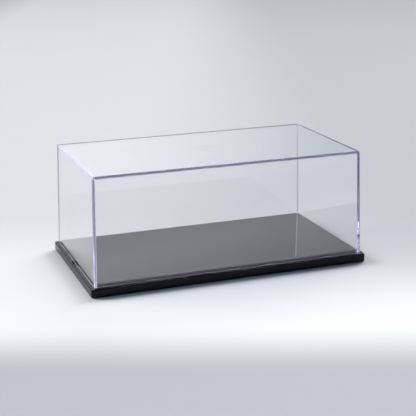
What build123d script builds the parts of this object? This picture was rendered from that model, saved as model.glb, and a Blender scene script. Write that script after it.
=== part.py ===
from build123d import *
import os

# Display case for a scale model: a clear cover that lifts off a gloss black base.
# Millimetres. +X runs along the case, -Y is its front, +Z is up. The origin is on the
# surface that the case stands on, under the middle of the base.

# Base
BASE_LENGTH = 232.0
BASE_WIDTH = 127.5
BASE_CORNER_RADIUS = 2.2
LEDGE_HEIGHT = 7.2  # from the table to the ledge that the cover stands on
LEDGE_OVERHANG = 3.0  # ledge that shows outside the cover, all round
LEDGE_EDGE_RADIUS = 1.0
SKIRT_BOTTOM = 0.5  # the skirt clears the table by this much
SKIRT_WALL = 2.0
SKIRT_BOTTOM_CHAMFER = 0.3
TRAY_PLATE = 3.0  # thickness of the tray's top plate
RIB_THICKNESS = 1.6
RIB_RISE = 0.6  # the ribs stop this far above the skirt's bottom
LONG_RIB_END_GAP = 6.0  # the long rib ends this far short of the tongues
CROSS_RIB_SPACING = 56.0
CROSS_RIBS = 3

# Feet
FOOT_RADIUS = 6.0
FOOT_THICKNESS = 1.6
FOOT_EDGE_RADIUS = 0.4
FOOT_INSET_X = 14.0  # foot centre to the base's short side
FOOT_INSET_Y = 14.0
FOOT_POCKET_DEPTH = 0.8
FOOT_POCKET_CLEARANCE = 0.2
FOOT_BOSS_WALL = 2.2

# Deck
DECK_INSET = 2.5  # deck side to the cover's outer face at its foot
DECK_THICKNESS = 2.4
DECK_CORNER_RADIUS = 2.2
DECK_EDGE_RADIUS = 1.5
PEG_RADIUS = 2.0
PEG_HEIGHT = 1.2
PEG_CLEARANCE = 0.15
PEG_X = 84.0
PEG_Y = 38.0

# Cover
COVER_HEIGHT = 86.0  # from the ledge to the top
COVER_WALL = 2.0
COVER_DRAFT = 0.025  # each wall leans in by this share of its height
COVER_EDGE_RADIUS = 1.5
COVER_INNER_RADIUS = 0.7
TONGUE_WIDTH = 12.0
TONGUE_THICKNESS = 1.5
TONGUE_LENGTH = 3.4  # below the cover's foot
TONGUE_LEAD_IN = 0.4
TONGUE_ROOT = 1.5  # height over which a tongue is one with its wall
SLOT_CLEARANCE = 0.35  # round a tongue, at its ends and its inner side
SLOT_REACH = 1.8  # how far a slot shows outside the cover
SLOT_WALL = 1.15  # wall of the closed socket that hangs under each slot
GATE_DISH_RADIUS = 9.0
GATE_DISH_DEPTH = 0.25
GATE_STUB_RADIUS = 1.5
GATE_STUB_HEIGHT = 0.2

COVER_LENGTH = BASE_LENGTH - 2 * LEDGE_OVERHANG
COVER_WIDTH = BASE_WIDTH - 2 * LEDGE_OVERHANG
DECK_LENGTH = COVER_LENGTH - 2 * DECK_INSET
DECK_WIDTH = COVER_WIDTH - 2 * DECK_INSET
PLATE_UNDERSIDE = LEDGE_HEIGHT - TRAY_PLATE
CEILING_HEIGHT = LEDGE_HEIGHT + COVER_HEIGHT - COVER_WALL
FOOT_X = BASE_LENGTH / 2 - FOOT_INSET_X
FOOT_Y = BASE_WIDTH / 2 - FOOT_INSET_Y
TONGUE_CENTRE_X = COVER_LENGTH / 2 - COVER_WALL / 2
LEFT_RIGHT = (-1, 1)


def block(length, width, bottom, top):
    """A plain block centred on the Z axis, from bottom to top."""
    return Pos(0, 0, bottom) * extrude(Rectangle(length, width), top - bottom)


def disc(radius, bottom, top):
    """A plain round disc on the Z axis, from bottom to top."""
    return Pos(0, 0, bottom) * extrude(Circle(radius), top - bottom)


def drafted_block(length, width, bottom, height):
    """A block whose four walls lean in by the cover's draft."""
    lean = 2 * COVER_DRAFT * height
    foot = Pos(0, 0, bottom) * Rectangle(length, width)
    head = Pos(0, 0, bottom + height) * Rectangle(length - lean, width - lean)
    return loft([foot, head], ruled=True)


def rounded_except_foot(shape, radius):
    """Round every edge of a block apart from those of its lowest face."""
    foot_edges = shape.faces().sort_by(Axis.Z)[0].edges()
    edges = [edge for edge in shape.edges() if edge not in foot_edges]
    return fillet(edges, radius)


def tongue(side):
    """The cover's locating tongue in the middle of one short side."""
    top = LEDGE_HEIGHT + TONGUE_ROOT
    tip = LEDGE_HEIGHT - TONGUE_LENGTH
    blade = block(TONGUE_THICKNESS, TONGUE_WIDTH, tip, top)
    tip_edges = blade.faces().sort_by(Axis.Z)[0].edges()
    return Pos(side * TONGUE_CENTRE_X, 0, 0) * chamfer(tip_edges, TONGUE_LEAD_IN)


def clear_cover():
    """One thin clear moulding: four drafted walls, a top and two tongues."""
    outside = drafted_block(COVER_LENGTH, COVER_WIDTH, LEDGE_HEIGHT, COVER_HEIGHT)
    outside = rounded_except_foot(outside, COVER_EDGE_RADIUS)
    inner_length = COVER_LENGTH - 2 * COVER_WALL
    inner_width = COVER_WIDTH - 2 * COVER_WALL
    inside = drafted_block(inner_length, inner_width, LEDGE_HEIGHT, COVER_HEIGHT - COVER_WALL)
    inside = rounded_except_foot(inside, COVER_INNER_RADIUS)
    shell = outside - inside
    shell -= disc(GATE_DISH_RADIUS, CEILING_HEIGHT - 1, CEILING_HEIGHT + GATE_DISH_DEPTH)
    shell += disc(GATE_STUB_RADIUS, CEILING_HEIGHT + GATE_DISH_DEPTH - GATE_STUB_HEIGHT, CEILING_HEIGHT + 1)
    for side in LEFT_RIGHT:
        shell += tongue(side)
    return shell


def tongue_slot(side):
    """The blind slot that a tongue drops into; it reaches out past the cover's face."""
    inner_x = TONGUE_CENTRE_X - TONGUE_THICKNESS / 2 - SLOT_CLEARANCE
    outer_x = COVER_LENGTH / 2 + SLOT_REACH
    width = TONGUE_WIDTH + 2 * SLOT_CLEARANCE
    bottom = LEDGE_HEIGHT - TONGUE_LENGTH - SLOT_CLEARANCE
    slot = block(outer_x - inner_x, width, bottom, LEDGE_HEIGHT + 1)
    return Pos(side * (inner_x + outer_x) / 2, 0, 0) * slot


def slot_socket(side):
    """The closed socket under the plate that a slot is cut into; it ends in the skirt."""
    inner_x = TONGUE_CENTRE_X - TONGUE_THICKNESS / 2 - SLOT_CLEARANCE - SLOT_WALL
    outer_x = BASE_LENGTH / 2 - SKIRT_WALL / 2
    width = TONGUE_WIDTH + 2 * (SLOT_CLEARANCE + SLOT_WALL)
    bottom = LEDGE_HEIGHT - TONGUE_LENGTH - SLOT_CLEARANCE - SLOT_WALL
    socket = block(outer_x - inner_x, width, bottom, PLATE_UNDERSIDE)
    return Pos(side * (inner_x + outer_x) / 2, 0, 0) * socket


def ribs():
    """Stiffening ribs under the tray: one along it and several across."""
    bottom = SKIRT_BOTTOM + RIB_RISE
    span_x = 2 * (TONGUE_CENTRE_X - LONG_RIB_END_GAP)
    span_y = BASE_WIDTH - SKIRT_WALL
    shape = block(span_x, RIB_THICKNESS, bottom, PLATE_UNDERSIDE)
    for place in range(CROSS_RIBS):
        x = (place - (CROSS_RIBS - 1) / 2) * CROSS_RIB_SPACING
        shape += Pos(x, 0, 0) * block(RIB_THICKNESS, span_y, bottom, PLATE_UNDERSIDE)
    return shape


def at_feet(shape):
    """Copies of a shape at the four foot positions."""
    return [Pos(x * FOOT_X, y * FOOT_Y, 0) * shape for x in LEFT_RIGHT for y in LEFT_RIGHT]


def base_tray():
    """The base moulding: skirt, ledge and plate, with ribs, foot bosses and slot sockets below."""
    body = block(BASE_LENGTH, BASE_WIDTH, SKIRT_BOTTOM, LEDGE_HEIGHT)
    body = fillet(body.edges().filter_by(Axis.Z), BASE_CORNER_RADIUS)
    body = fillet(body.faces().sort_by(Axis.Z)[-1].edges(), LEDGE_EDGE_RADIUS)
    body = chamfer(body.faces().sort_by(Axis.Z)[0].edges(), SKIRT_BOTTOM_CHAMFER)
    hollow_length = BASE_LENGTH - 2 * SKIRT_WALL
    hollow_width = BASE_WIDTH - 2 * SKIRT_WALL
    body -= block(hollow_length, hollow_width, SKIRT_BOTTOM - 1, PLATE_UNDERSIDE)
    body += ribs()
    boss_bottom = FOOT_THICKNESS - FOOT_POCKET_DEPTH
    boss = disc(FOOT_RADIUS + FOOT_BOSS_WALL, boss_bottom, PLATE_UNDERSIDE)
    pocket = disc(FOOT_RADIUS + FOOT_POCKET_CLEARANCE, 0, FOOT_THICKNESS)
    for shape in at_feet(boss):
        body += shape
    for shape in at_feet(pocket):
        body -= shape
    peg = disc(PEG_RADIUS, LEDGE_HEIGHT - 1, LEDGE_HEIGHT + PEG_HEIGHT)
    for x in LEFT_RIGHT:
        for y in LEFT_RIGHT:
            body += Pos(x * PEG_X, y * PEG_Y, 0) * peg
    for side in LEFT_RIGHT:
        body += slot_socket(side)
        body -= tongue_slot(side)
    return body


def display_deck():
    """The polished deck panel that the model stands on, with its edge rounded."""
    top = LEDGE_HEIGHT + DECK_THICKNESS
    panel = block(DECK_LENGTH, DECK_WIDTH, LEDGE_HEIGHT, top)
    panel = fillet(panel.edges().filter_by(Axis.Z), DECK_CORNER_RADIUS)
    panel = fillet(panel.faces().sort_by(Axis.Z)[-1].edges(), DECK_EDGE_RADIUS)
    hole_top = LEDGE_HEIGHT + PEG_HEIGHT + PEG_CLEARANCE
    hole = disc(PEG_RADIUS + PEG_CLEARANCE, LEDGE_HEIGHT - 1, hole_top)
    for x in LEFT_RIGHT:
        for y in LEFT_RIGHT:
            panel -= Pos(x * PEG_X, y * PEG_Y, 0) * hole
    return panel


def foot():
    """A round non-slip pad with its lower edge rounded."""
    pad = disc(FOOT_RADIUS, 0, FOOT_THICKNESS)
    return fillet(pad.edges().sort_by(Axis.Z)[0], FOOT_EDGE_RADIUS)


FOOT_NAMES = ("foot_front_left", "foot_rear_left", "foot_front_right", "foot_rear_right")

os.makedirs("parts", exist_ok=True)
export_step(clear_cover(), "parts/clear_cover.step")
export_step(base_tray(), "parts/base_tray.step")
export_step(display_deck(), "parts/display_deck.step")
for name, pad in zip(FOOT_NAMES, at_feet(foot())):
    export_step(pad, f"parts/{name}.step")
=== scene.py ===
import math

import bpy
import bmesh
import numpy as np
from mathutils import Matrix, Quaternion, Vector
from mathutils.geometry import tessellate_polygon


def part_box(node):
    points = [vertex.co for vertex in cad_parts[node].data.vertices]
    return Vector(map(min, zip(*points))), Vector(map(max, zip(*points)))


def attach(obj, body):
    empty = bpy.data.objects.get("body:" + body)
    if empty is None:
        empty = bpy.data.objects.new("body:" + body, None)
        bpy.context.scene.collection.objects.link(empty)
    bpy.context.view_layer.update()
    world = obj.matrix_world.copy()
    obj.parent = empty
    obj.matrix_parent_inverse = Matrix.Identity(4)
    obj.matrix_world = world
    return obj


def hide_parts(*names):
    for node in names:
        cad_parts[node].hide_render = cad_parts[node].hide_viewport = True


bl_info = {
    "name": "Display Case",
    "version": (1, 0, 0),
    "blender": (4, 5, 0),
    "location": "View3D > Sidebar > Display Case",
    "description": "Builds a clear-covered display case for a scale model, and its studio",
    "category": "Add Mesh",
}

# Metres throughout. +X runs along the case, -Y is its front, +Z is up.
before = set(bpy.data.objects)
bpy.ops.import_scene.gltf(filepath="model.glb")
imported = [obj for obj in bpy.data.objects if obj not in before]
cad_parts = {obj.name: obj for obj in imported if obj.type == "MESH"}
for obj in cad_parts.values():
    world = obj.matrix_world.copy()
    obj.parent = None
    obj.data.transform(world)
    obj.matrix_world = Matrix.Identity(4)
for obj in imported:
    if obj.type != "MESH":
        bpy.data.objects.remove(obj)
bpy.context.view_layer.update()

TRAY_LOW, TRAY_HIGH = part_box("base_tray")
DECK_LOW, DECK_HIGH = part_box("display_deck")
COVER_LOW, COVER_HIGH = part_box("clear_cover")
FEET = ("foot_front_left", "foot_rear_left", "foot_front_right", "foot_rear_right")

LEDGE_HEIGHT = DECK_LOW.z  # the ledge carries the deck and the cover alike
WELD = 1e-7  # points nearer than this are one point
SEAT_GAP = 0.00005  # air between two pieces that rest on each other
SMOOTH_LIMIT = math.radians(35)  # a sharper angle between two faces stays an edge
ROUND_STARTS = 0.002  # a wall's draft leans its normal by less than this
ROUND_SPAN = 0.1  # lean over which a rounded edge's painted haze, which stands in for light refracted in it, comes in
PAD_BEVEL = 0.0001  # breaks a foot's upper edge
CORNER_STEPS = 10
ARC_STEPS = 8


# ---------------------------------------------------------------- settings


def length(name, description, default):
    """A length in metres that a user may change."""
    return bpy.props.FloatProperty(
        name=name, description=description, default=default, precision=5, subtype="DISTANCE", unit="LENGTH"
    )


def colour(name, description, default):
    """A colour that a user may change, as linear red, green and blue."""
    return bpy.props.FloatVectorProperty(
        name=name, description=description, default=default, size=3, min=0.0, max=1.0, subtype="COLOR"
    )


def factor(name, description, default):
    """A plain number that a user may change."""
    return bpy.props.FloatProperty(name=name, description=description, default=default, precision=4)


class CoverSettings(bpy.types.PropertyGroup):
    """Sizes and looks of the clear cover"""

    wall: length("Wall", "Thickness of the walls and the top", 0.002)
    draft: factor("Draft", "How far each wall leans in, as a share of its height", 0.025)
    edge_radius: length("Edge radius", "Rounding of the outer edges", 0.0015)
    inner_radius: length("Inner radius", "Rounding of the inner corners", 0.0007)
    foot_radius: length("Foot radius", "Rounding of the foot's two edges", 0.0002)
    overhang: length("Ledge", "Ledge that shows outside the cover", 0.003)
    tongue_width: length("Tongue width", "Width of a locating tongue", 0.012)
    tongue_inset: length("Tongue inset", "From the wall's face to the tongue's face", 0.00025)
    tongue_lead: length("Tongue lead-in", "Taper at a tongue's tip", 0.0004)
    gate_radius: length("Gate dish radius", "Shallow round dish under the top", 0.009)
    gate_depth: length("Gate dish depth", "Depth of the dish", 0.00025)
    stub_radius: length("Gate stub radius", "Cut stub in the middle of the dish", 0.0015)
    stub_height: length("Gate stub height", "Height of the stub", 0.0002)
    # The edge colour and the edge haze share are painted light: a violet-grey haze in the rounded edges
    # that stands in for light refracted and reflected in them.
    edge: colour("Edge", "Haze that shows in the rounded edges", (0.62, 0.58, 0.75))
    painted_edge_light_share: factor("Edge haze", "How much of an edge is haze", 0.5)
    edge_softness: factor("Edge softness", "Roughness of the rounded edges", 0.2)
    tint: colour("Tint", "What a thick edge lets through", (0.80, 0.78, 0.865))
    tint_density: factor("Tint density", "How quickly the tint builds up, per metre", 40.0)
    index: factor("Refractive index", "Of the clear plastic", 1.49)


class DeckSettings(bpy.types.PropertyGroup):
    """Sizes and looks of the deck panel"""

    corner_radius: length("Corner radius", "Rounding of the four corners", 0.0022)
    edge_radius: length("Edge radius", "Rounding of the upper edge", 0.0015)
    foot_radius: length("Lower edge", "Rounding of the lower edge", 0.0002)
    hole_radius: length("Hole radius", "Blind holes for the tray's pegs", 0.00215)
    hole_depth: length("Hole depth", "Depth of the blind holes", 0.00135)
    hole_x: length("Hole X", "From the middle to a hole", 0.084)
    hole_y: length("Hole Y", "From the middle to a hole", 0.038)
    black: colour("Black", "Colour of the polished plastic", (0.006, 0.006, 0.008))


class BaseSettings(bpy.types.PropertyGroup):
    """Looks of the base moulding, and the feet"""

    black: colour("Black", "Colour of the base moulding", (0.0012, 0.001, 0.001))
    rubber: colour("Rubber", "Colour of the feet", (0.028, 0.028, 0.03))
    pad_radius: length("Pad edge", "Rounding of a foot's lower edge", 0.0004)


class StageSettings(bpy.types.PropertyGroup):
    """Floor and light"""

    paper: colour("Paper", "Colour of the floor in front of the case", (0.86, 0.855, 0.85))
    # Painted shade: the far colour stands in for the light falling off away from the case.
    painted_far_shade: colour("Far paper", "Colour that the floor fades to further away", (0.46, 0.465, 0.495))
    sky: colour("Sky", "Colour of the light from all round", (0.50, 0.76, 1.0))
    sky_strength: factor("Sky strength", "Strength of the light from all round", 0.2)
    glow: colour("Glow", "Colour of the large soft lights", (1.0, 1.0, 0.99))
    back_glow: factor("Back glow", "Low and wide behind the case", 0.99)
    left_glow: factor("Left glow", "Behind and to the left", 15.8)
    right_glow: factor("Right glow", "Behind and to the right", 15.1)
    high_glow: factor("High glow", "Above and behind", 8.0)
    floor_radius: length("Floor radius", "Flat part of the cove", 3.4)
    cove_radius: length("Cove radius", "Sweep from the floor to the wall", 0.7)
    cove_height: length("Cove height", "Top of the cove's wall", 0.75)


# ------------------------------------------------------------ mesh helpers


def arc(middle, radius, start, stop, steps=ARC_STEPS):
    """Points middle + radius * (cos a, sin a), with a running evenly from start to stop in radians."""
    a = np.linspace(start, stop, steps + 1)
    return np.stack((middle[0] + radius * np.cos(a), middle[1] + radius * np.sin(a)), axis=1)


def ring(half_x, half_y, radius, stops_x, stops_y):
    """One turn round a rectangle with rounded corners, anticlockwise from above.

    The right side is (half_x, y) at stops_y, the corner is centre + radius * (cos a, sin a) over
    a quarter turn, and the back side is (x, half_y) at stops_x. The other half is the same
    points through the middle, (-x, -y).
    """
    centre = (half_x - radius, half_y - radius)
    right = np.stack((np.full(len(stops_y), half_x), stops_y), axis=1)
    corner = arc(centre, radius, 0.0, math.pi / 2, CORNER_STEPS)
    back = np.stack((stops_x[::-1], np.full(len(stops_x), half_y)), axis=1)
    far_corner = arc((-centre[0], centre[1]), radius, math.pi / 2, math.pi, CORNER_STEPS)
    half = np.concatenate((right, corner, back, far_corner))
    return np.concatenate((half, -half))


def disc_ring(outline, radius):
    """The points of a circle in the same directions from the middle as an outline's points."""
    return radius * outline / np.linalg.norm(outline, axis=1, keepdims=True)


def at_height(outline, height):
    """An outline's points at one height, or each at its own."""
    z = np.broadcast_to(np.asarray(height, float), (len(outline),))
    return np.column_stack((outline, z))


def band_faces(rows, columns):
    """Four-sided faces of rows of points, where each row is a closed turn."""
    row = np.arange(rows - 1)[:, None] * columns
    column = np.arange(columns)[None, :]
    after = (column + 1) % columns
    corners = (row + column, row + columns + column, row + columns + after, row + after)
    return np.stack(corners, axis=-1).reshape(-1, 4)


def skin(rows):
    """Points and faces of a surface given as rows, each a closed turn with the same number of points."""
    grid = np.stack(rows)
    return grid.reshape(-1, 3), band_faces(grid.shape[0], grid.shape[1])


def flat_with_holes(outlines, facing_up):
    """Triangles that fill the first outline apart from the others; every outline is (n, 3)."""
    points = np.concatenate(outlines)
    faces = np.array(tessellate_polygon([outline.tolist() for outline in outlines]))
    a, b, c = (points[faces[:, k]] for k in range(3))
    upward = np.cross(b - a, c - a)[:, 2] > 0
    wrong = upward != facing_up
    faces[wrong] = faces[wrong][:, ::-1]
    return points, faces


def make_piece(name, parts, closed=True):
    """One object from several (points, faces) parts, welded where they meet.

    Its flats are shaded flat and its rounds smooth. A closed piece with an open edge is an error.
    """
    starts = np.cumsum([0] + [len(points) for points, _ in parts])
    points = np.concatenate([points for points, _ in parts])
    faces = [face for (_, own), start in zip(parts, starts) for face in (own + start).tolist()]
    mesh = bpy.data.meshes.new(name)
    mesh.from_pydata(points, [], faces)
    bm = bmesh.new()
    bm.from_mesh(mesh)
    bmesh.ops.remove_doubles(bm, verts=bm.verts, dist=WELD)
    bmesh.ops.dissolve_degenerate(bm, edges=bm.edges, dist=WELD)
    if closed and not all(edge.is_manifold for edge in bm.edges):
        raise RuntimeError(f"{name} isn't a closed surface")
    bm.to_mesh(mesh)
    bm.free()
    mesh.polygons.foreach_set("use_smooth", np.ones(len(mesh.polygons), bool))
    mesh.set_sharp_from_angle(angle=SMOOTH_LIMIT)
    piece = bpy.data.objects.new(name, mesh)
    bpy.context.scene.collection.objects.link(piece)
    flats = piece.modifiers.new("flat_faces", "WEIGHTED_NORMAL")
    flats.keep_sharp = True
    return piece


def mark_rounds(piece):
    """An "edge" value for each point: (lean - ROUND_STARTS) / ROUND_SPAN, held between 0 and 1.

    The lean is 1 less the largest share that the point's normal has along any axis.
    """
    mesh = piece.data
    normals = np.empty(len(mesh.vertices) * 3)
    mesh.vertex_normals.foreach_get("vector", normals)
    lean = 1.0 - np.abs(normals.reshape(-1, 3)).max(axis=1)
    edge = mesh.attributes.new("edge", "FLOAT", "POINT")
    edge.data.foreach_set("value", np.clip((lean - ROUND_STARTS) / ROUND_SPAN, 0.0, 1.0))


def blend_step(share):
    """0 to 1 with level ends: 3 s^2 - 2 s^3."""
    return share * share * (3 - 2 * share)


# ------------------------------------------------------------ node helpers


def new_material(name):
    """An empty node material and its output node."""
    material = bpy.data.materials.new(name)
    material.use_nodes = True
    material.node_tree.nodes.clear()
    return material, add_node(material, "OutputMaterial")


def add_node(material, kind, values=None, **settings):
    """A node with its settings and the values of its named sockets."""
    node = material.node_tree.nodes.new("ShaderNode" + kind)
    for key, value in settings.items():
        setattr(node, key, value)
    for key, value in (values or {}).items():
        node.inputs[key].default_value = value
    return node


def link(material, source, target):
    """Joins an output socket to an input socket."""
    material.node_tree.links.new(source, target)


def object_space(material, scale=(1.0, 1.0, 1.0), turn=(0.0, 0.0, 0.0)):
    """Object coordinates through a Mapping node, so a pattern can be stretched or turned."""
    place = add_node(material, "TexCoord")
    mapping = add_node(material, "Mapping", {"Scale": scale, "Rotation": turn})
    link(material, place.outputs["Object"], mapping.inputs["Vector"])
    return mapping.outputs["Vector"]


def noise(material, where, scale, detail=2.0, roughness=0.5):
    """A noise pattern with so many features in a metre."""
    values = {"Scale": scale, "Detail": detail, "Roughness": roughness}
    node = add_node(material, "TexNoise", values)
    link(material, where, node.inputs["Vector"])
    return node.outputs["Fac"]


def spread(material, source, low, high, low_value, high_value):
    """A value carried smoothly from low..high to low_value..high_value, and held at its ends."""
    values = {"From Min": low, "From Max": high, "To Min": low_value, "To Max": high_value}
    node = add_node(material, "MapRange", values, interpolation_type="SMOOTHSTEP")
    link(material, source, node.inputs["Value"])
    return node.outputs["Result"]


def mixed_colour(material, share, first, second):
    """A colour that goes from first to second with share."""
    node = add_node(material, "Mix", data_type="RGBA")
    colours = [socket for socket in node.inputs if socket.type == "RGBA"]
    colours[0].default_value = (*first, 1.0)
    colours[1].default_value = (*second, 1.0)
    link(material, share, node.inputs["Factor"])
    return next(socket for socket in node.outputs if socket.type == "RGBA")


def combined(material, operation, first, second):
    """Two values brought together by one operation of the Math node."""
    node = add_node(material, "Math", operation=operation)
    link(material, first, node.inputs[0])
    link(material, second, node.inputs[1])
    return node.outputs["Value"]


def larger(material, first, second):
    """The larger of two values."""
    return combined(material, "MAXIMUM", first, second)


def bump(material, height, depth):
    """A bump whose full height is depth metres."""
    node = add_node(material, "Bump", {"Strength": 1.0, "Distance": depth})
    link(material, height, node.inputs["Height"])
    return node.outputs["Normal"]


def hairlines(material, turn, scale=60.0, finest=0.72):
    """Fine straight wear marks in one direction: noise stretched 40 times along it, cut off high."""
    where = object_space(material, scale=(1.0, 40.0, 40.0), turn=(0.0, 0.0, turn))
    return spread(material, noise(material, where, scale, 3.0), finest, 0.85, 0.0, 1.0)


# --------------------------------------------------------------- materials


def clear_plastic(settings):
    """Clear moulded plastic with faint flow waves and hairline wear.

    Its rounded edges are partly a painted violet-grey haze that stands in for light refracted and
    reflected in them, and a violet tint builds up along the way through it.
    """
    material, output = new_material("clear_plastic")
    body = add_node(material, "BsdfPrincipled", {"IOR": settings.index})
    edge = add_node(material, "Attribute", attribute_name="edge").outputs["Fac"]
    # Painted light: the rounded edges take the violet-grey edge colour and let less light through,
    # standing in for light refracted and reflected in them.
    link(material, mixed_colour(material, edge, (1, 1, 1), settings.edge), body.inputs["Base Color"])
    clear = spread(material, edge, 0.0, 1.0, 1.0, 1.0 - settings.painted_edge_light_share)
    link(material, clear, body.inputs["Transmission Weight"])
    wear = larger(material, hairlines(material, 0.35), hairlines(material, 1.9))
    worn = spread(material, wear, 0.0, 1.0, 0.0, 0.06)
    soft = spread(material, edge, 0.0, 1.0, 0.0, settings.edge_softness)
    link(material, larger(material, worn, soft), body.inputs["Roughness"])
    waves = noise(material, object_space(material), 22.0, 1.0)
    link(material, bump(material, waves, 0.00002), body.inputs["Normal"])
    # Light on its way to or from a dull surface goes straight through, so that it counts once.
    let_through = add_node(material, "BsdfTransparent", {"Color": (0.94, 0.94, 0.95, 1.0)})
    path = add_node(material, "LightPath")
    choose = add_node(material, "MixShader")
    scattered = larger(material, path.outputs["Is Shadow Ray"], path.outputs["Is Diffuse Ray"])
    link(material, scattered, choose.inputs["Fac"])
    link(material, body.outputs["BSDF"], choose.inputs[1])
    link(material, let_through.outputs["BSDF"], choose.inputs[2])
    link(material, choose.outputs["Shader"], output.inputs["Surface"])
    tint = add_node(
        material, "VolumeAbsorption", {"Color": (*settings.tint, 1.0), "Density": settings.tint_density}
    )
    link(material, tint.outputs["Volume"], output.inputs["Volume"])
    return material


def deck_black(settings):
    """Polished black plastic with a soft haze, fine hairlines and a little dust."""
    material, output = new_material("deck_black")
    body = add_node(material, "BsdfPrincipled", {"IOR": 1.5})
    where = object_space(material)
    haze = spread(material, noise(material, where, 35.0, 3.0), 0.3, 0.7, 0.035, 0.075)
    wear = larger(material, hairlines(material, 0.15), hairlines(material, 1.2))
    scratch = spread(material, wear, 0.0, 1.0, 0.0, 0.16)
    link(material, larger(material, haze, scratch), body.inputs["Roughness"])
    dust = spread(material, noise(material, where, 1500.0, 1.0), 0.74, 0.8, 0.0, 1.0)
    pale = tuple(channel + 0.03 for channel in settings.black)
    link(material, mixed_colour(material, dust, settings.black, pale), body.inputs["Base Color"])
    ripple = noise(material, where, 90.0, 2.0)
    link(material, bump(material, ripple, 0.000008), body.inputs["Normal"])
    link(material, body.outputs["BSDF"], output.inputs["Surface"])
    return material


def gloss_black(settings):
    """The base moulding: gloss black with a faint orange peel, smears and dust."""
    material, output = new_material("gloss_black")
    body = add_node(material, "BsdfPrincipled", {"IOR": 1.27})
    where = object_space(material)
    smear = spread(material, noise(material, where, 45.0, 4.0, 0.6), 0.35, 0.7, 0.05, 0.13)
    link(material, smear, body.inputs["Roughness"])
    dust = spread(material, noise(material, where, 1800.0, 1.0), 0.72, 0.8, 0.0, 1.0)
    pale = tuple(channel + 0.02 for channel in settings.black)
    link(material, mixed_colour(material, dust, settings.black, pale), body.inputs["Base Color"])
    peel = noise(material, where, 500.0, 2.0)
    link(material, bump(material, peel, 0.000006), body.inputs["Normal"])
    link(material, body.outputs["BSDF"], output.inputs["Surface"])
    return material


def foot_rubber(settings):
    """Dark soft rubber with a fine grain."""
    material, output = new_material("foot_rubber")
    body = add_node(material, "BsdfPrincipled", {"IOR": 1.45, "Specular IOR Level": 0.35})
    where = object_space(material)
    grain = noise(material, where, 2600.0, 3.0, 0.6)
    link(material, spread(material, grain, 0.3, 0.7, 0.62, 0.85), body.inputs["Roughness"])
    pale = tuple(channel * 1.8 for channel in settings.rubber)
    share = spread(material, noise(material, where, 300.0, 3.0), 0.35, 0.75, 0.0, 1.0)
    link(material, mixed_colour(material, share, settings.rubber, pale), body.inputs["Base Color"])
    link(material, bump(material, grain, 0.00005), body.inputs["Normal"])
    link(material, body.outputs["BSDF"], output.inputs["Surface"])
    return material


def paper(settings):
    """Matt background paper with painted light falloff: palest in a painted pool of light just before the
    case, with a painted darker tone all round it.
    """
    material, output = new_material("background_paper")
    body = add_node(material, "BsdfPrincipled", {"Specular IOR Level": 0.1, "Roughness": 0.9})
    split = add_node(material, "SeparateXYZ")
    across_view = object_space(material, turn=(0.0, 0.0, math.radians(CAMERA_AZIMUTH)))
    link(material, across_view, split.inputs["Vector"])
    # Painted light and shade: the floor is palest just before the case and darker behind it, to its right,
    # far in front and to the sides, standing in for how the light falls.
    behind = spread(material, split.outputs["Y"], -0.13, 0.13, 0.0, 0.565)
    beside = spread(material, split.outputs["Y"], -0.13, 0.0, 0.0, 0.40)
    right = spread(material, split.outputs["X"], -0.10, 0.20, 0.0, 1.0)
    before = spread(material, split.outputs["Y"], -0.23, -0.15, 1.0, 0.0)
    painted_falloff = combined(material, "ADD", behind, combined(material, "MULTIPLY", beside, right))
    painted_falloff = combined(material, "ADD", painted_falloff, before)
    painted_falloff = larger(material, painted_falloff, spread(material, split.outputs["X"], -0.7, -0.25, 1.0, 0.0))
    painted_falloff = larger(material, painted_falloff, spread(material, split.outputs["X"], 0.25, 0.7, 0.0, 1.0))
    tone = mixed_colour(material, painted_falloff, settings.paper, settings.painted_far_shade)
    link(material, tone, body.inputs["Base Color"])
    mottle = noise(material, object_space(material), 900.0, 3.0)
    link(material, bump(material, mottle, 0.00005), body.inputs["Normal"])
    link(material, body.outputs["BSDF"], output.inputs["Surface"])
    return material


# ------------------------------------------------------------------ pieces


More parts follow.
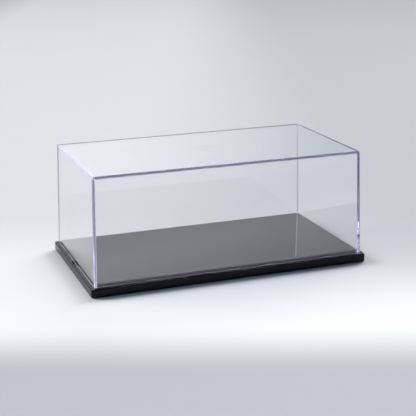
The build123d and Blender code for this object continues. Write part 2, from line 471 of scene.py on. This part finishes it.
def cover_rows(settings):
    """The clear cover as closed turns: over the top, down outside, round the foot and up inside.

    A wall's face at height z is the foot's half size less draft * (z - foot). An edge is a ball's
    path: centre + radius * (cos a, sin a), with a from the wall's lean to upright, and the turn's
    corner radius is the ball's cos a share, so it closes to a point on the flat top. Where a
    tongue is, the foot's inner rows go down by their share of the tongue's length.
    """
    foot = LEDGE_HEIGHT + SEAT_GAP
    top = COVER_HIGH.z
    ceiling = top - settings.wall
    half_x = TRAY_HIGH.x - settings.overhang
    half_y = TRAY_HIGH.y - settings.overhang
    lean = math.atan(settings.draft)
    tongue_edge = settings.tongue_width / 2
    tongue_stops = np.array([-1.0, -0.985, -0.5, 0.5, 0.985, 1.0]) * tongue_edge
    shares = np.array([0.85, 0.6, 0.35, 0.2])

    def turn(inset, radius, height):
        """One turn at an inset from the foot's outline."""
        x = half_x - inset
        y = half_y - inset
        stops_x = np.concatenate((-shares, shares[::-1])) * (x - radius)
        side = shares * (y - radius)
        stops_y = np.concatenate((-side, tongue_stops, side[::-1]))
        return at_height(ring(x, y, radius, stops_x, stops_y), height)

    def edge(radius, wall, level, start, stop):
        """Turns over one rounded upper edge; level is the height of the flat it runs into."""
        rounding = radius / math.cos(lean)
        middle_z = level - radius
        skeleton = wall + settings.draft * (middle_z - foot) + rounding
        for x, z in arc((0.0, middle_z), radius, start, stop):
            yield turn(skeleton - x, max(x, 0.0), z)

    outline = turn(0.0, settings.edge_radius, foot)[:, :2]
    on_tongue = (np.abs(outline[:, 0]) > half_x - WELD) & (np.abs(outline[:, 1]) < tongue_edge * 0.99)
    drop = foot - COVER_LOW.z
    lead = settings.tongue_lead
    face = settings.tongue_inset

    rows = [at_height(outline * 0.0, top)]
    rows += list(edge(settings.edge_radius, 0.0, top, math.pi / 2, lean))
    small = settings.foot_radius
    for x, z in arc((small, foot + small), small, math.pi, 1.5 * math.pi, 4):
        rows.append(turn(x, settings.edge_radius - min(x, small), z))
    inner = settings.wall - face
    for inset, down in ((face, 0.0), (face * 1.1, drop - lead), (face + lead, drop)):
        row = turn(inset, settings.edge_radius - inset, foot)
        row[:, 2] -= np.where(on_tongue, down, 0.0)
        rows.append(row)
    for inset, down in ((inner - lead, drop), (inner - face * 0.1, drop - lead), (inner, 0.0)):
        row = turn(inset, settings.inner_radius, foot)
        row[:, 2] -= np.where(on_tongue, down, 0.0)
        rows.append(row)
    wall = settings.wall
    for x, z in arc((wall - small, foot + small), small, 1.5 * math.pi, 2 * math.pi, 4):
        rows.append(turn(x, settings.inner_radius, z))
    rows += list(edge(settings.inner_radius, wall, ceiling, lean, math.pi / 2))

    dish = settings.gate_radius
    ramp = settings.gate_depth
    for share in np.linspace(0.0, 1.0, ARC_STEPS + 1):
        height = ceiling + settings.gate_depth * blend_step(share)
        rows.append(at_height(disc_ring(outline, dish + ramp * (1 - 2 * share)), height))
    roof = ceiling + settings.gate_depth
    ramp = settings.stub_height / 2
    for share in np.linspace(0.0, 1.0, ARC_STEPS + 1):
        height = roof - settings.stub_height * blend_step(share)
        rows.append(at_height(disc_ring(outline, settings.stub_radius + ramp * (1 - 2 * share)), height))
    rows.append(at_height(outline * 0.0, roof - settings.stub_height))
    return rows


def deck_parts(settings):
    """The deck: a panel with rounded corners and a rounded upper edge, and blind peg holes below.

    An edge is centre + radius * (cos a, sin a) over a quarter turn, carried round the outline.
    """
    bottom = DECK_LOW.z + SEAT_GAP
    top = DECK_HIGH.z
    half_x, half_y = DECK_HIGH.x, DECK_HIGH.y
    shares = np.array([0.8, 0.5, 0.2])

    def turn(inset, height):
        """One turn at an inset from the deck's outline."""
        x, y = half_x - inset, half_y - inset
        radius = settings.corner_radius - inset
        stops_x = np.concatenate((-shares, shares[::-1])) * (x - radius)
        stops_y = np.concatenate((-shares, shares[::-1])) * (y - radius)
        return at_height(ring(x, y, radius, stops_x, stops_y), height)

    radius = settings.edge_radius
    rows = [turn(radius, top) * (0.0, 0.0, 1.0)]
    rows += [turn(radius - x, z) for x, z in arc((0.0, top - radius), radius, math.pi / 2, 0.0)]
    small = settings.foot_radius
    rows += [turn(small - x, z) for x, z in arc((0.0, bottom + small), small, 0.0, -math.pi / 2, 4)]
    parts = [skin(rows)]

    circle = arc((0.0, 0.0), settings.hole_radius, 0.0, 2 * math.pi, 48)[:-1]
    roof = bottom + settings.hole_depth
    holes = []
    for x in (-settings.hole_x, settings.hole_x):
        for y in (-settings.hole_y, settings.hole_y):
            rim = at_height(circle + (x, y), bottom)
            end = at_height(circle + (x, y), roof)
            middle = at_height(circle * 0.0 + (x, y), roof)
            parts.append(skin([rim, end, middle]))
            holes.append(rim)
    parts.append(flat_with_holes([rows[-1], *holes], facing_up=False))
    return parts


def foot_parts(low, high, settings):
    """A round pad turned about its own upright axis: flat top, straight side, rounded lower edge."""
    middle = (low + high) / 2
    radius = (high.x - low.x) / 2
    circle = arc((0.0, 0.0), 1.0, 0.0, 2 * math.pi, 64)[:-1]
    edge = settings.pad_radius
    profile = [(0.0, high.z), (radius - PAD_BEVEL, high.z), (radius, high.z - PAD_BEVEL)]
    profile += list(arc((radius - edge, low.z + edge), edge, 0.0, -math.pi / 2))
    profile += [(radius * 0.5, low.z), (0.0, low.z)]
    place = (middle.x, middle.y)
    return [skin([at_height(circle * r + place, z) for r, z in profile])]


def finish_piece(piece, material, body, node):
    """Gives a piece its material and tells the frame what it rides on and stands for."""
    piece.data.materials.clear()
    piece.data.materials.append(material)
    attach(piece, body)
    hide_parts(node)


class DISPLAYCASE_OT_cover(bpy.types.Operator):
    """Build the clear cover with its tongues, gate dish and rounded edges"""

    bl_idname = "display_case.cover"
    bl_label = "Clear Cover"

    def execute(self, context):
        settings = context.scene.case_cover
        piece = make_piece("clear_cover_moulding", [skin(cover_rows(settings))])
        mark_rounds(piece)
        finish_piece(piece, clear_plastic(settings), "cover", "clear_cover")
        return {"FINISHED"}


class DISPLAYCASE_OT_deck(bpy.types.Operator):
    """Build the polished deck panel"""

    bl_idname = "display_case.deck"
    bl_label = "Display Deck"

    def execute(self, context):
        settings = context.scene.case_deck
        piece = make_piece("polished_deck", deck_parts(settings))
        finish_piece(piece, deck_black(settings), "base", "display_deck")
        return {"FINISHED"}


class DISPLAYCASE_OT_tray(bpy.types.Operator):
    """Finish the base moulding in gloss black"""

    bl_idname = "display_case.tray"
    bl_label = "Base Tray"

    def execute(self, context):
        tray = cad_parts.get("base_tray")
        if tray is None:
            raise RuntimeError("the base tray isn't in the frame")
        tray.data.materials.clear()
        tray.data.materials.append(gloss_black(context.scene.case_base))
        return {"FINISHED"}


class DISPLAYCASE_OT_feet(bpy.types.Operator):
    """Build the four rubber feet"""

    bl_idname = "display_case.feet"
    bl_label = "Rubber Feet"

    def execute(self, context):
        settings = context.scene.case_base
        rubber = foot_rubber(settings)
        for node in FEET:
            low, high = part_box(node)
            piece = make_piece(node.replace("foot", "rubber_pad"), foot_parts(low, high, settings))
            finish_piece(piece, rubber, "base", node)
        return {"FINISHED"}


# ------------------------------------------------------------------- stage

CAMERA_AIM = Vector((0.0008, -0.00175, 0.042))
CAMERA_DISTANCE = 0.8809
CAMERA_AZIMUTH = 20.296  # degrees from +Y towards +X
CAMERA_ELEVATION = 16.423  # degrees that it looks down
CAMERA_ROLL = math.radians(-0.459)
CAMERA_LENS = 91.69  # millimetres, on a 36 mm sensor
# Setting, azimuth and elevation of the middle, and how far the full and the fading part reach.
# The first is the one that the cover's top and the deck mirror; the next two light the floor.
GLOWS = (
    ("back_glow", -10.0, 13.0, 5.0, 47.0),
    ("left_glow", -54.0, 20.0, 3.0, 24.0),
    ("right_glow", 58.0, 20.0, 3.0, 24.0),
    ("high_glow", 27.0, 41.0, 4.0, 12.0),
)
LIGHT_BOUNCES = 48  # light runs along inside the clear walls before it comes out at an edge


def direction(azimuth, elevation):
    """A unit vector, (sin az cos el, cos az cos el, sin el), from degrees off +Y and above the floor."""
    az, el = math.radians(azimuth), math.radians(elevation)
    return Vector((math.sin(az) * math.cos(el), math.cos(az) * math.cos(el), math.sin(el)))


def add_camera():
    """The camera: it looks along its direction at the aim, turned by the roll about itself."""
    forward = direction(CAMERA_AZIMUTH, -CAMERA_ELEVATION)
    data = bpy.data.cameras.new("camera")
    data.lens = CAMERA_LENS
    data.sensor_width = 36.0
    data.clip_start = 0.01
    data.clip_end = 20.0
    camera = bpy.data.objects.new("camera", data)
    camera.rotation_mode = "QUATERNION"
    camera.rotation_quaternion = forward.to_track_quat("-Z", "Y") @ Quaternion((0, 0, 1), CAMERA_ROLL)
    camera.location = CAMERA_AIM - forward * CAMERA_DISTANCE
    bpy.context.scene.collection.objects.link(camera)
    bpy.context.scene.camera = camera


def add_sky(settings):
    """Even light from all round, and large soft lights that fade with the angle from their middles."""
    sky = bpy.data.worlds.new("soft_sky")
    sky.use_nodes = True
    sky.node_tree.nodes.clear()
    total = add_node(sky, "Background", {"Color": (*settings.sky, 1.0), "Strength": settings.sky_strength})
    towards = add_node(sky, "TexCoord").outputs["Object"]
    for name, azimuth, elevation, full, fading in GLOWS:
        across = add_node(sky, "VectorMath", operation="DOT_PRODUCT")
        across.inputs[1].default_value = direction(azimuth, elevation)
        link(sky, towards, across.inputs[0])
        lowest, highest = math.cos(math.radians(fading)), math.cos(math.radians(full))
        strength = spread(sky, across.outputs["Value"], lowest, highest, 0.0, getattr(settings, name))
        light = add_node(sky, "Background", {"Color": (*settings.glow, 1.0)})
        link(sky, strength, light.inputs["Strength"])
        both = add_node(sky, "AddShader")
        link(sky, total.outputs[0], both.inputs[0])
        link(sky, light.outputs[0], both.inputs[1])
        total = both
    link(sky, total.outputs[0], add_node(sky, "OutputWorld").inputs["Surface"])
    bpy.context.scene.world = sky


def add_cove(settings):
    """The floor and its cove: a flat disc, a quarter circle upwards and a wall, turned about Z."""
    circle = arc((0.0, 0.0), 1.0, 0.0, 2 * math.pi, 96)[:-1]
    flat, sweep = settings.floor_radius, settings.cove_radius
    profile = [(flat + sweep, settings.cove_height)]
    profile += list(arc((flat, sweep), sweep, 0.0, -math.pi / 2, 24))
    profile += [(flat * 0.5, 0.0), (0.0, 0.0)]
    rows = [at_height(circle * r, z) for r, z in profile]
    cove = make_piece("cove", [skin(rows)], closed=False)
    cove.data.flip_normals()
    cove.data.materials.append(paper(settings))


class DISPLAYCASE_OT_stage(bpy.types.Operator):
    """Build the floor, the lights and the camera"""

    bl_idname = "display_case.stage"
    bl_label = "Studio"

    def execute(self, context):
        settings = context.scene.case_stage
        add_camera()
        add_cove(settings)
        add_sky(settings)
        context.scene.view_settings.view_transform = "Standard"
        context.scene.cycles.max_bounces = LIGHT_BOUNCES
        context.scene.cycles.transmission_bounces = LIGHT_BOUNCES
        context.scene.cycles.glossy_bounces = LIGHT_BOUNCES
        return {"FINISHED"}


# ------------------------------------------------------------------ add-on


class DISPLAYCASE_PT_panel(bpy.types.Panel):
    """The case's pieces and their settings"""

    bl_label = "Display Case"
    bl_idname = "DISPLAYCASE_PT_panel"
    bl_space_type = "VIEW_3D"
    bl_region_type = "UI"
    bl_category = "Display Case"

    def draw(self, context):
        """A button for each operator, then each group's fields."""
        for operator in OPERATORS:
            self.layout.operator(operator.bl_idname)
        for name, group in SETTINGS.items():
            box = self.layout.box()
            for field in group.__annotations__:
                box.prop(getattr(context.scene, name), field)


SETTINGS = {
    "case_cover": CoverSettings,
    "case_deck": DeckSettings,
    "case_base": BaseSettings,
    "case_stage": StageSettings,
}
OPERATORS = (
    DISPLAYCASE_OT_stage,
    DISPLAYCASE_OT_tray,
    DISPLAYCASE_OT_feet,
    DISPLAYCASE_OT_deck,
    DISPLAYCASE_OT_cover,
)
CLASSES = (*SETTINGS.values(), *OPERATORS, DISPLAYCASE_PT_panel)


def register():
    """Adds the classes and the scene's settings."""
    for item in CLASSES:
        bpy.utils.register_class(item)
    for name, group in SETTINGS.items():
        setattr(bpy.types.Scene, name, bpy.props.PointerProperty(type=group))


def unregister():
    """Takes the scene's settings and the classes away again."""
    for name in SETTINGS:
        delattr(bpy.types.Scene, name)
    for item in reversed(CLASSES):
        bpy.utils.unregister_class(item)


def main():
    """Builds the stage and every piece."""
    register()
    bpy.ops.display_case.stage()
    bpy.ops.display_case.tray()
    bpy.ops.display_case.feet()
    bpy.ops.display_case.deck()
    bpy.ops.display_case.cover()


if __name__ == "__main__":
    main()
